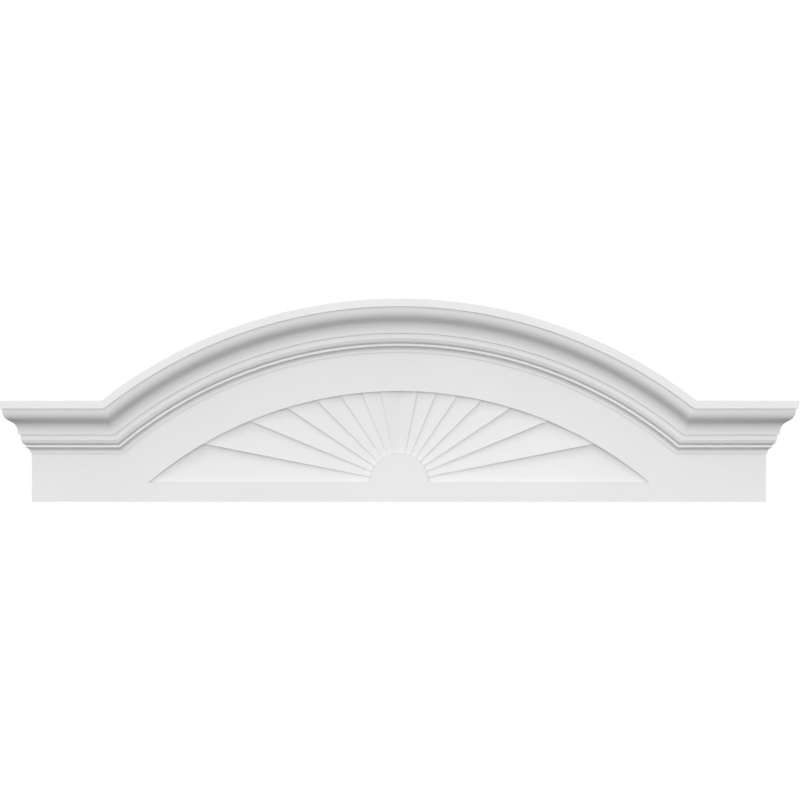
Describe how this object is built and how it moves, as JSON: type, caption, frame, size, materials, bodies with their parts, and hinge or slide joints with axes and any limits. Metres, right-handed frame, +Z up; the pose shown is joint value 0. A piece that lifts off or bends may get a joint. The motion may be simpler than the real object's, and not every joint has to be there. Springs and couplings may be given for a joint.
{
  "type": "segmental pediment",
  "caption": "Segmental arched pediment with level flankers, moulded crown with mitred returns, and a recessed sunburst panel; fixed flat to a wall over an opening.",
  "frame": {"origin": "on the flat back, on the centre line, behind the centre of the half-round hub that the rays fan out from (29.5 mm above the bottom edge)", "axes": "+X to the viewer's right along the width, +Y from the front into the wall (the back lies in y = 0 and the front faces -Y), +Z up"},
  "size_m": [1.2066, 0.0698, 0.3084],
  "materials": {
    "pvc_board": "satin white",
    "pvc_carved": "satin white, routed",
    "pvc_moulding": "satin white"
  },
  "bodies": {
    "root": {"frieze_board": "pvc_board", "sunburst_panel": "pvc_carved", "crown_arch": "pvc_moulding", "crown_flanker_left": "pvc_moulding", "crown_flanker_right": "pvc_moulding", "crown_return_left": "pvc_moulding", "crown_return_right": "pvc_moulding"}
  },
  "joints": []
}
